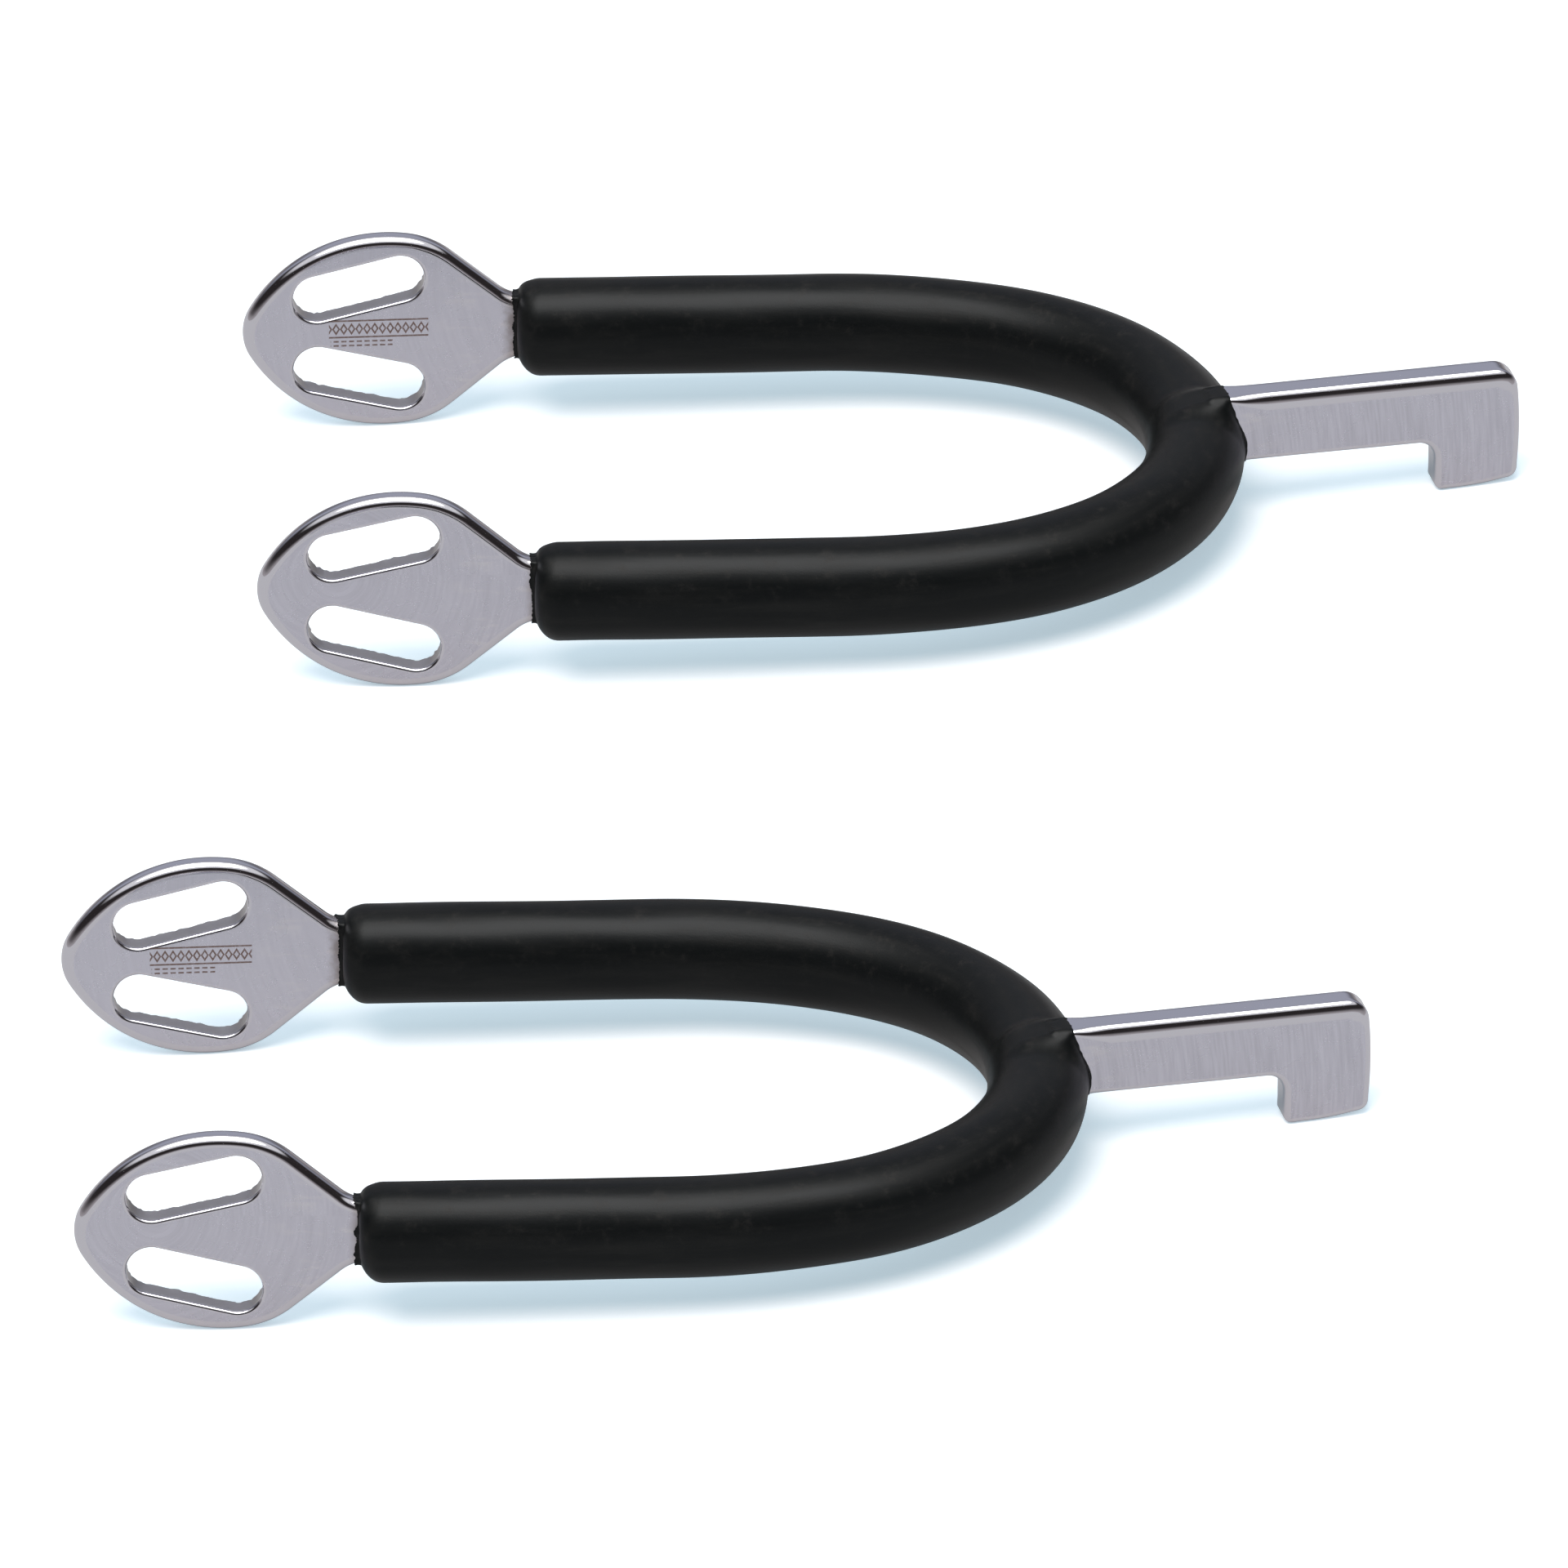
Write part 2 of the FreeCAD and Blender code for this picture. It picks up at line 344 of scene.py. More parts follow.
# A group placed in a material with that material's own values.
def placeGroup(tree, group, **settings):
    node = tree.nodes.new("ShaderNodeGroup")
    node.node_tree = group
    for name, value in settings.items():
        feed(tree, node.inputs[name], value)
    return node.outputs


# In the settings of the finishes, a noise is its scale, detail and roughness, a range is where
# an ease starts and ends, then what it gives there, and a bump is its strength and its depth.
grindingMarks = {
    "fine": (1.0, 4.0, 0.6), "broad": (1.0, 2.0), "fineShare": 0.7, "broadShare": 0.3,
    "broadPitch": 0.21, "broadLayer": 3.0, "shadeRange": (0.3, 0.7),
}


# Grinding marks as arcs round a centre: noise that is fine across the arcs and long along
# them, shade 0..1, and a height made of the same lines.
def curvedGrindingGroup():
    tree, given, result = newGroup(
        "curvedGrinding", ["Place", "Centre"], {"Pitch": 0.3, "Length": 4.0}, ["Shade", "Height"])
    marks = grindingMarks
    x, y, z = split(tree, vectorCalc(tree, "SUBTRACT", given["Place"], given["Centre"]))
    radius = calc(tree, "SQRT", total(tree, product(tree, x, x), product(tree, y, y)))
    angle = calc(tree, "ARCTAN2", y, x)
    along = calc(tree, "DIVIDE", product(tree, angle, radius), given["Length"])
    across = calc(tree, "DIVIDE", radius, given["Pitch"])
    fine = noise(tree, combine(tree, across, along, z), *marks["fine"])
    wider = product(tree, across, marks["broadPitch"])
    broad = noise(tree, combine(tree, wider, along, marks["broadLayer"]), *marks["broad"])
    shade = total(tree, product(tree, fine, marks["fineShare"]),
                  product(tree, broad, marks["broadShare"]))
    tree.links.new(ease(tree, shade, *marks["shadeRange"]), result["Shade"])
    tree.links.new(shade, result["Height"])
    return tree


edgeWear = {
    "nicks": (0.9, 3.0), "nickRange": (0.15, 0.4, 0.85, 1.0), "wallRange": (0.25, 0.9),
    "clouds": (0.25, 4.0), "cloudRange": (0.25, 0.75, -0.03, 0.03),
}


# How the steel's finish runs from its ground faces (0) to its buffed rims (1), with nicks
# along the rims, and how rough its punched walls are.
def edgeFinishGroup():
    tree, given, result = newGroup(
        "edgeFinish", ["Place"],
        {"Polish": 0.0, "Cut": 0.0, "Ground": 0.3, "Buffed": 0.06, "Punched": 0.4},
        ["Roughness", "Buffing", "Wall"])
    wear = edgeWear
    nicks = ease(tree, noise(tree, given["Place"], *wear["nicks"]), *wear["nickRange"])
    buffing = product(tree, given["Polish"], nicks)
    wall = ease(tree, given["Cut"], *wear["wallRange"])
    smoother = calc(tree, "SUBTRACT", given["Buffed"], given["Ground"])
    rough = total(tree, given["Ground"], product(tree, buffing, smoother))
    rougher = calc(tree, "SUBTRACT", given["Punched"], rough)
    rough = total(tree, rough, product(tree, wall, rougher))
    cloudy = ease(tree, noise(tree, given["Place"], *wear["clouds"]), *wear["cloudRange"])
    ground = calc(tree, "SUBTRACT", 1.0, buffing)
    tree.links.new(total(tree, rough, product(tree, cloudy, ground)), result["Roughness"])
    tree.links.new(buffing, result["Buffing"])
    tree.links.new(wall, result["Wall"])
    return tree


mouldFilm = {
    "ragged": (0.7, 5.0, 0.65), "edgeRange": (0.9, -0.9),
    "smears": (0.8, 4.0), "smearStretch": (0.25, 0.8, 0.5), "smearRange": (0.52, 0.68),
    "nearRange": (13.0, 3.0),
}


# Film left by the mould where steel leaves the rubber: strongest at the root, ragged at its
# far edge, with a few pale smears further out.
def mouldFilmGroup():
    tree, given, result = newGroup("mouldFilm", ["Place"], {"Reach": 4.0}, ["Film", "Smear"])
    film = mouldFilm
    x = split(tree, given["Place"])[0]
    ragged = product(tree, noise(tree, given["Place"], *film["ragged"]), given["Reach"])
    edge = calc(tree, "SUBTRACT", x, ragged)
    tree.links.new(ease(tree, edge, *film["edgeRange"]), result["Film"])
    stretched = vectorCalc(tree, "MULTIPLY", given["Place"], film["smearStretch"])
    smears = ease(tree, noise(tree, stretched, *film["smears"]), *film["smearRange"])
    near = ease(tree, x, *film["nearRange"])
    tree.links.new(product(tree, smears, near), result["Smear"])
    return tree


rubberMarks = {
    "streaks": (0.55, 4.0, 0.6), "bloomRange": (0.42, 0.75),
    "patches": (0.5, 6.0, 0.75), "dustRange": (0.5, 0.8), "settledRange": (-1.0, 5.0, 0.15, 1.0),
    "grain": (5.0, 3.0, 0.6), "grainHeight": 0.6, "bloomHeight": 0.4,
}


# Bloom and handling marks on moulded rubber: long faint streaks along the tube, patches of
# dust, more of it on top, and a fine mould texture.
def rubberBloomGroup():
    tree, given, result = newGroup(
        "rubberBloom", ["Place"], {"Streak": 9.0}, ["Bloom", "Dust", "Height"])
    marks = rubberMarks
    x, y, z = split(tree, given["Place"])
    stretched = combine(tree, calc(tree, "DIVIDE", x, given["Streak"]), y, z)
    bloom = ease(tree, noise(tree, stretched, *marks["streaks"]), *marks["bloomRange"])
    patches = ease(tree, noise(tree, given["Place"], *marks["patches"]), *marks["dustRange"])
    dust = product(tree, patches, ease(tree, z, *marks["settledRange"]))
    grain = noise(tree, given["Place"], *marks["grain"])
    height = total(tree, product(tree, grain, marks["grainHeight"]),
                   product(tree, bloom, marks["bloomHeight"]))
    tree.links.new(bloom, result["Bloom"])
    tree.links.new(dust, result["Dust"])
    tree.links.new(height, result["Height"])
    return tree


burntBorder = {
    "step": 0.95, "halfHeight": 0.8, "ring": 0.78, "stroke": 0.24,
    "lineAt": 1.1, "halfLine": 0.11, "reach": 6.1,
    "halfDash": 0.32, "dashDrop": 1.95, "dashGap": 0.28, "dashMiddle": 2.1, "dashReach": 3.8,
    "faceBelow": -1.0,                         # the plate's inner face has a lower level
    "fading": (3.0, 3.0), "fadingRange": (0.2, 0.55, 0.6, 1.0),
}


# A plain burnt-in border: a row of hollow lozenges between two thin lines, and a shorter double
# row of dashes under it. A lozenge's distance is |x|/a + |y|/b.
def burntBorderGroup():
    tree, given, result = newGroup("burntBorder", ["Place", "Middle"], {}, ["Mark"])

    def within(value, middle, half):
        away = calc(tree, "ABSOLUTE", calc(tree, "SUBTRACT", value, middle))
        return calc(tree, "LESS_THAN", away, half)

    mark = burntBorder
    x, y, z = split(tree, vectorCalc(tree, "SUBTRACT", given["Place"], given["Middle"]))
    step = calc(tree, "PINGPONG", total(tree, x, mark["step"]), mark["step"])
    step = calc(tree, "SUBTRACT", step, mark["step"] / 2)
    height = calc(tree, "ABSOLUTE", y)
    lozenge = total(tree, calc(tree, "DIVIDE", calc(tree, "ABSOLUTE", step), mark["step"] / 2),
                    calc(tree, "DIVIDE", height, mark["halfHeight"]))
    hollow = within(lozenge, mark["ring"], mark["stroke"])
    lines = within(height, mark["lineAt"], mark["halfLine"])
    upper = product(tree, calc(tree, "MAXIMUM", hollow, lines), within(x, 0.0, mark["reach"]))
    drop = calc(tree, "ABSOLUTE", total(tree, y, mark["dashDrop"]))
    dashes = product(tree, within(step, 0.0, mark["halfDash"]),
                     within(drop, mark["dashGap"], mark["halfLine"]))
    lower = product(tree, dashes, within(x, mark["dashMiddle"], mark["dashReach"]))
    face = calc(tree, "LESS_THAN", z, mark["faceBelow"])
    burnt = ease(tree, noise(tree, given["Place"], *mark["fading"]), *mark["fadingRange"])
    strokes = product(tree, calc(tree, "MAXIMUM", upper, lower), face)
    tree.links.new(product(tree, strokes, burnt), result["Mark"])
    return tree


groups = {"grinding": curvedGrindingGroup(), "edges": edgeFinishGroup(), "film": mouldFilmGroup(),
          "bloom": rubberBloomGroup(), "border": burntBorderGroup()}


# A material with its Principled shader; constants are set on the shader's own sockets.
def newMaterial(name, constants):
    material = bpy.data.materials.new(name)
    material.use_nodes = True
    shader = material.node_tree.nodes["Principled BSDF"]
    for socket, value in constants.items():
        shader.inputs[socket].default_value = value
    return material, material.node_tree, shader


# Bumps a shader's normal by a height, where a height of 1 stands as deep as depth millimetres.
def bump(tree, shader, height, strength, depth):
    node = tree.nodes.new("ShaderNodeBump")
    node.inputs["Strength"].default_value = strength
    node.inputs["Distance"].default_value = depth * millimetre
    tree.links.new(height, node.inputs["Height"])
    tree.links.new(node.outputs["Normal"], shader.inputs["Normal"])


steelFinish = {
    "face": (0.705, 0.70, 0.79, 1.0), "faceDark": (0.58, 0.575, 0.65, 1.0),
    "rim": (0.72, 0.71, 0.77, 1.0), "wall": (0.56, 0.54, 0.55, 1.0),
    "ground": 0.27, "buffed": 0.08, "punched": 0.42, "smoothest": 0.03,
    "smear": (0.86, 0.83, 0.83, 1.0), "smearShare": 0.35,
    "film": (0.28, 0.21, 0.16, 1.0), "filmShare": 0.55, "filmRoughness": 0.2,
    "burnt": (0.21, 0.12, 0.085, 1.0), "burntShare": 0.85, "burntRoughness": 0.25,
    "pits": (2.6, 4.0, 0.7), "pitHeight": 6.0, "bump": (0.2, 0.02),
}


# Satin steel: ground faces with arcs of grinding, buffed rims, punched slot walls, a film near
# the rubber, and on some plates a burnt-in border.
def steelMaterial(name, grindCentre, pitch, length, lineStrength, filmReach, border=None):
    finish = steelFinish
    material, tree, shader = newMaterial(name, {"Metallic": 1.0, "IOR": 2.5})
    place = attribute(tree, "place", "Vector")
    grinding = placeGroup(tree, groups["grinding"], Place=place, Centre=grindCentre,
                          Pitch=pitch, Length=length)
    edges = placeGroup(tree, groups["edges"], Place=place, Polish=attribute(tree, "polish", "Fac"),
                       Cut=attribute(tree, "cut", "Fac"), Ground=finish["ground"],
                       Buffed=finish["buffed"], Punched=finish["punched"])
    film = placeGroup(tree, groups["film"], Place=place, Reach=filmReach)
    shading = product(tree, grinding["Shade"], lineStrength)
    smear = product(tree, film["Smear"], finish["smearShare"])
    filmed = product(tree, film["Film"], finish["filmShare"])
    colour = blendColours(tree, shading, finish["face"], finish["faceDark"])
    colour = blendColours(tree, smear, colour, finish["smear"])
    colour = blendColours(tree, edges["Buffing"], colour, finish["rim"])
    colour = blendColours(tree, edges["Wall"], colour, finish["wall"])
    colour = blendColours(tree, filmed, colour, finish["film"])
    rough = total(tree, edges["Roughness"], product(tree, film["Film"], finish["filmRoughness"]))
    matte = calc(tree, "SUBTRACT", 1.0, edges["Buffing"], clamp=True)
    lines = product(tree, product(tree, grinding["Height"], matte), lineStrength)
    pits = product(tree, noise(tree, place, *finish["pits"]), edges["Wall"])
    height = total(tree, lines, product(tree, pits, finish["pitHeight"]))
    if border:
        mark = placeGroup(tree, groups["border"], Place=place, Middle=border)["Mark"]
        burnt = product(tree, mark, finish["burntShare"])
        colour = blendColours(tree, burnt, colour, finish["burnt"])
        rough = total(tree, rough, product(tree, mark, finish["burntRoughness"]))
    tree.links.new(colour, shader.inputs["Base Color"])
    tree.links.new(calc(tree, "MAXIMUM", rough, finish["smoothest"]), shader.inputs["Roughness"])
    bump(tree, shader, height, *finish["bump"])
    return material


rubberFinish = {
    "base": (0.0036, 0.0042, 0.0044, 1.0), "roughness": 0.34,
    "bloom": (0.0085, 0.0085, 0.008, 1.0), "bloomShare": 0.6, "bloomRoughness": 0.08, "streak": 9.0,
    "dust": (0.045, 0.040, 0.036, 1.0), "dustShare": 0.3, "dustRoughness": 0.14,
    "bump": (0.36, 0.05),
}


# Matt black moulded rubber: a dark base, then faint bloom, then dust, each a little rougher.
def rubberMaterial():
    finish = rubberFinish
    material, tree, shader = newMaterial("mouldedRubber", {"IOR": 1.5, "Specular IOR Level": 0.13})
    place = attribute(tree, "place", "Vector")
    marks = placeGroup(tree, groups["bloom"], Place=place, Streak=finish["streak"])
    bloom = product(tree, marks["Bloom"], finish["bloomShare"])
    dust = product(tree, marks["Dust"], finish["dustShare"])
    colour = blendColours(tree, bloom, finish["base"], finish["bloom"])
    colour = blendColours(tree, dust, colour, finish["dust"])
    bloomRoughness = product(tree, marks["Bloom"], finish["bloomRoughness"])
    dustRoughness = product(tree, marks["Dust"], finish["dustRoughness"])
    rough = total(tree, finish["roughness"], total(tree, bloomRoughness, dustRoughness))
    tree.links.new(colour, shader.inputs["Base Color"])
    tree.links.new(rough, shader.inputs["Roughness"])
    bump(tree, shader, marks["Height"], *finish["bump"])
    return material


rodFinish = {
    "dark": (0.36, 0.35, 0.36, 1.0), "light": (0.46, 0.45, 0.46, 1.0), "colourRange": (0.3, 0.7),
    "stretch": (90.0, 900.0, 900.0), "streaks": (2.0, 4.0, 0.6),
    "roughRange": (0.2, 0.8, 0.3, 0.45), "bump": (0.2, 0.03),
}


# Drawn bar inside the rubber: streaks along the object's X with light and dark bands.
def drawnSteelMaterial():
    finish = rodFinish
    material, tree, shader = newMaterial("drawnSteel", {"Metallic": 1.0, "IOR": 2.5})
    place = tree.nodes.new("ShaderNodeTexCoord").outputs["Object"]
    stretched = vectorCalc(tree, "MULTIPLY", place, finish["stretch"])
    streaks = noise(tree, stretched, *finish["streaks"])
    banding = ease(tree, streaks, *finish["colourRange"])
    colour = blendColours(tree, banding, finish["dark"], finish["light"])
    tree.links.new(colour, shader.inputs["Base Color"])
    tree.links.new(ease(tree, streaks, *finish["roughRange"]), shader.inputs["Roughness"])
    bump(tree, shader, streaks, *finish["bump"])
    return material


materials = {
    "nearPlate": steelMaterial("strapPlateSteel", grindCentre=(24.0, 2.5, 0.0), pitch=0.34,
                               length=7.0, lineStrength=0.6, filmReach=1.0),
    "farPlate": steelMaterial("markedPlateSteel", grindCentre=(-24.0, 9.0, 0.0), pitch=0.35,
                              length=9.0, lineStrength=0.35, filmReach=2.4,
                              border=(17.0, 0.7, 0.0)),
    "neck": steelMaterial("neckSteel", grindCentre=(-32.0, -3.0, 0.0), pitch=0.36,
                          length=7.0, lineStrength=0.85, filmReach=0.0),
    "rubber": rubberMaterial(), "rod": drawnSteelMaterial(),
}
print("finishes made:", len(materials))


plate = {
    "length": 33.6, "halfHeight": 12.7, "thickness": 3.1, "rise": 0.45, "toeIn": 2.0,
    "tipRadius": 6.2, "tipEnd": 60.0, "shoulderStart": 8.0, "shoulderRadius": 11.0, "flank": 40.0,
    "rootHalfHeight": 3.9, "rootFillet": 5.0, "tongue": 10.0, "tongueCorner": 2.0,
    "slotLength": 16.4, "slotWidth": 6.0, "slotAt": (19.4, 6.0), "slotTilt": 13.6,
    "rimRadius": 1.15, "rimReach": 1.45, "tipExtraRadius": 0.2, "tipSpan": (9.0, 2.0),
    "slotRimRadius": 0.4, "slotRimReach": 0.58, "rimSteps": 11, "rollDepth": 0.07,
    # punching leaves fine teeth and slower waves on a slot's wall, in whole turns round it
    "burr": 0.09, "burrTeeth": (8, 46), "burrWaves": (1, 6), "waveShare": 0.5,
    # points on each run of the outline, from the tip to the tongue's corner
    "tipSteps": 22, "sideSteps": 60, "shoulderSteps": 22, "flankSteps": 14, "filletSteps": 16,
    "tongueSteps": 18, "cornerSteps": 10, "slotEndSteps": 29, "slotSideSteps": 22,
}


# Upper half of the plate's outline from its tip to the tongue. A heading turns through arcs:
# u = u0 - r (sin h0 - sin h), z = z0 + r (cos h - cos h0), joined by straight runs.
def plateUpperOutline():
    p = plate
    turn = 1 - math.cos(math.radians(p["tipEnd"]))
    sideRadius = (p["halfHeight"] - p["tipRadius"] * (1 - turn)) / turn
    u, z, heading = p["length"], 0.0, 90.0
    runs = [np.array([[u, z]])]
    arcs = [(p["tipRadius"], p["tipEnd"], p["tipSteps"]),
            (sideRadius, -p["shoulderStart"], p["sideSteps"]),
            (p["shoulderRadius"], -p["flank"], p["shoulderSteps"]),
            ("flank", None, p["flankSteps"]), (-p["rootFillet"], 0.0, p["filletSteps"]),
            ("tongue", None, p["tongueSteps"]), (p["tongueCorner"], -90.0, p["cornerSteps"])]
    for radius, toHeading, count in arcs:
        if radius == "flank":
            fall = p["rootFillet"] * (1 - math.cos(math.radians(p["flank"])))
            end = p["rootHalfHeight"] + fall
            stop = np.array([u - (z - end) / math.tan(math.radians(p["flank"])), end])
        elif radius == "tongue":
            stop = np.array([-p["tongue"] + p["tongueCorner"], z])
        if toHeading is None:
            share = np.linspace(0, 1, count + 1)[1:, None]
            run = np.array([u, z]) * (1 - share) + stop * share
        else:
            h0 = math.radians(heading)
            h = np.radians(np.linspace(heading, toHeading, count + 1)[1:])
            run = np.stack([u - radius * (math.sin(h0) - np.sin(h)),
                            z + radius * (np.cos(h) - math.cos(h0))], axis=1)
            heading = toHeading
        runs.append(run)
        u, z = run[-1]
    return np.concatenate(runs)


# How far from the rubber's end the hollow fillet ends: the flank's straight run, carried on
# down to the fillet.
def rootFilletEnd():
    flank = math.radians(plate["flank"])
    steps = plate["tipSteps"] + plate["sideSteps"] + plate["shoulderSteps"]
    u, z = plateUpperOutline()[steps]
    filletTop = plate["rootHalfHeight"] + plate["rootFillet"] * (1 - math.cos(flank))
    return u - (z - filletTop) / math.tan(flank)


# The upper half of the outline and its mirror image, as one closed loop.
def plateOutline():
    upper = plateUpperOutline()
    mirrored = upper[-1:0:-1] * (1, -1)
    return orientedLoop(np.concatenate([upper, mirrored]))


# A slot is a stadium: half-circles on a straight run, turned so that the two slots lean apart.
def slotOutline(level):
    radius = plate["slotWidth"] / 2
    half = plate["slotLength"] / 2 - radius
    turn = np.linspace(-math.pi / 2, math.pi / 2, plate["slotEndSteps"])
    end = np.stack([half + radius * np.cos(turn), radius * np.sin(turn)], axis=1)
    run = np.linspace(half, -half, plate["slotSideSteps"])[1:-1]
    top = np.stack([run, np.full(run.size, radius)], axis=1)
    loop = np.concatenate([end, top, -end, -top])
    lean = math.radians(-level * plate["slotTilt"])
    turned = loop @ np.array([[math.cos(lean), math.sin(lean)], [-math.sin(lean), math.cos(lean)]])
    return orientedLoop(turned + (plate["slotAt"][0], level * plate["slotAt"][1]), hole=True)


# One strap plate: its outline with a worked rim, two slots with ragged walls, then turned in
# and put on its arm. side is -1 for the near arm and 1 for the far one.
def strapPlate(name, seat, side, material, seed):
    outline = plateOutline()
    atTip = easeBetween(outline[:, 0], *(plate["length"] - span for span in plate["tipSpan"]))
    rimRadius = plate["rimRadius"] + plate["tipExtraRadius"] * atTip
    loops = [rimmedLoop(outline, rimRadius, rimRadius, plate["rimReach"], wallSteps=1)]
    for level in (1, -1):
        slot = slotOutline(level)
        around = np.linspace(0, 2 * math.pi, len(slot), endpoint=False)
        burr = (ripple(around, seed + level, *plate["burrTeeth"])
                + plate["waveShare"] * ripple(around, seed + 9 + level, *plate["burrWaves"]))
        loops.append(rimmedLoop(slot, plate["slotRimRadius"], plate["slotRimRadius"],
                                plate["slotRimReach"], wallSteps=6,
                                raggedness=plate["burr"] * burr, cutWall=1.0))
    points, faces, polish, cut = flatPiece(loops, plate["thickness"], plate["rimSteps"],
                                           plate["rollDepth"])
    u, v, w = points.T
    turn = math.radians(side * plate["toeIn"])
    x = -u * math.cos(turn) - w * math.sin(turn) - heelBar["rubberEnd"]
    y = -u * math.sin(turn) + w * math.cos(turn) + side * heelBar["armHalfSpacing"]
    local = np.stack([x, y, v + plate["rise"]], axis=1)
    masks = {"polish": polish, "cut": cut}
    return makePiece(name, seated(local, seat), faces, points, masks, material)


neckBar = {
    "width": 4.4, "skew": 11.0, "rimSteps": 12, "rollDepth": 0.05,
    # the rim is narrow except along the top
    "rimRadius": 1.0, "rimWidth": 0.75, "rimReach": 1.0,
    "topRimWidth": 1.9, "topRimReach": 3.2, "topFrom": (3.6, 6.4),
    # corners (along, up), the radius that rounds each, and how far the side after it bulges
    "corners": ((3.2, 7.2, 0.9, 0.0), (39.9, 7.2, 2.5, 0.45), (39.9, -7.1, 1.2, 0.4),
                (29.6, -8.0, 1.0, 0.0), (29.6, -1.6, 2.0, 0.0), (3.2, -1.6, 0.9, 0.0)),
    "bottomBevel": 0.3, "bevelFrom": (0.5, 1.5), "bevelFade": (26.0, 9.0),
    # a rim can't be wider than a sharp corner allows, and has more room away from it
    "sharpCorner": 2.0, "roomAtCorner": 0.55, "roomAway": 0.33, "mostRoom": 2.3,
    "radiusShare": 0.8, "widthShare": 0.85, "sideStep": 0.5, "cornerPoints": 17,
}


# A closed outline with rounded corners and slightly full sides. A side is
# c + t (next - c) + n 4 b t (1 - t), and a corner is a cubic blend from side to side whose
# handles are 4/3 tan(turn/4) r long.
def roundedOutline(corners, sideCount, cornerCount):
    place = np.array([corner[:2] for corner in corners])
    radii = np.array([corner[2] for corner in corners])
    bulge = np.array([corner[3] for corner in corners])
    chord = np.roll(place, -1, axis=0) - place
    length = np.linalg.norm(chord, axis=1)
    outward = np.stack([-chord[:, 1], chord[:, 0]], axis=1) / length[:, None]

    def pointOn(side, t):
        return place[side] + t * chord[side] + outward[side] * 4 * bulge[side] * t * (1 - t)

    def headingOn(side, t):
        slope = chord[side] + outward[side] * 4 * bulge[side] * (1 - 2 * t)
        return slope / np.linalg.norm(slope)

    before, after = np.roll(chord, 1, axis=0), chord
    turn = np.arccos(np.sum(before * after, axis=1) / (np.roll(length, 1) * length))
    trim = radii * np.tan(turn / 2)
    runs = []
    for k in range(len(corners)):
        previous, following = (k - 1) % len(corners), (k + 1) % len(corners)
        last, first = 1 - trim[k] / length[previous], trim[k] / length[k]
        start, heading = pointOn(previous, last), headingOn(previous, last)
        stop, leaving = pointOn(k, first), headingOn(k, first)
        handle = 4 / 3 * math.tan(turn[k] / 4) * radii[k]
        t = np.linspace(0, 1, cornerCount)[:, None]
        runs.append((1 - t) ** 3 * start + 3 * t * (1 - t) ** 2 * (start + heading * handle)
                    + 3 * t ** 2 * (1 - t) * (stop - leaving * handle) + t ** 3 * stop)
        spans = np.linspace(first, 1 - trim[following] / length[k], sideCount(length[k]))
        runs.append(pointOn(k, spans[1:-1, None]))
    return orientedLoop(np.concatenate(runs))


# The flat bar behind the heel: its outline with a rim that changes along it, then swung out.
def neck(name, seat, material):
    bar = neckBar
    sideCount = lambda length: int(length / bar["sideStep"]) + 3
    outline = roundedOutline(bar["corners"], sideCount, bar["cornerPoints"])
    sharp = np.array([corner for corner in bar["corners"] if corner[2] < bar["sharpCorner"]])
    away = np.linalg.norm(outline[:, None] - sharp[None, :, :2], axis=2)
    room = np.min(bar["roomAtCorner"] * sharp[:, 2] + bar["roomAway"] * away, axis=1)
    room = np.minimum(room, bar["mostRoom"])
    atBottom = easeBetween(-outline[:, 1], *bar["bevelFrom"])
    atBottom = atBottom * easeBetween(outline[:, 0], *bar["bevelFade"])
    radius = bar["rimRadius"] * (1 + bar["bottomBevel"] * atBottom)
    radius = np.minimum(radius, bar["radiusShare"] * room)
    atTop = easeBetween(outline[:, 1], *bar["topFrom"])
    width = bar["rimWidth"] + atTop * (bar["topRimWidth"] - bar["rimWidth"])
    reach = bar["rimReach"] + atTop * (bar["topRimReach"] - bar["rimReach"])
    width, reach = np.minimum(width, bar["widthShare"] * room), np.minimum(reach, room)
    loops = [rimmedLoop(outline, radius, width, reach, wallSteps=3)]
    points, faces, polish, cut = flatPiece(loops, bar["width"], bar["rimSteps"], bar["rollDepth"])
    u, v, w = points.T
    turn = math.radians(bar["skew"])
    local = np.stack([u * math.cos(turn) - w * math.sin(turn),
                      u * math.sin(turn) + w * math.cos(turn), v], axis=1)
    masks = {"polish": polish, "cut": cut}
    return makePiece(name, seated(local, seat), faces, points, masks, material)


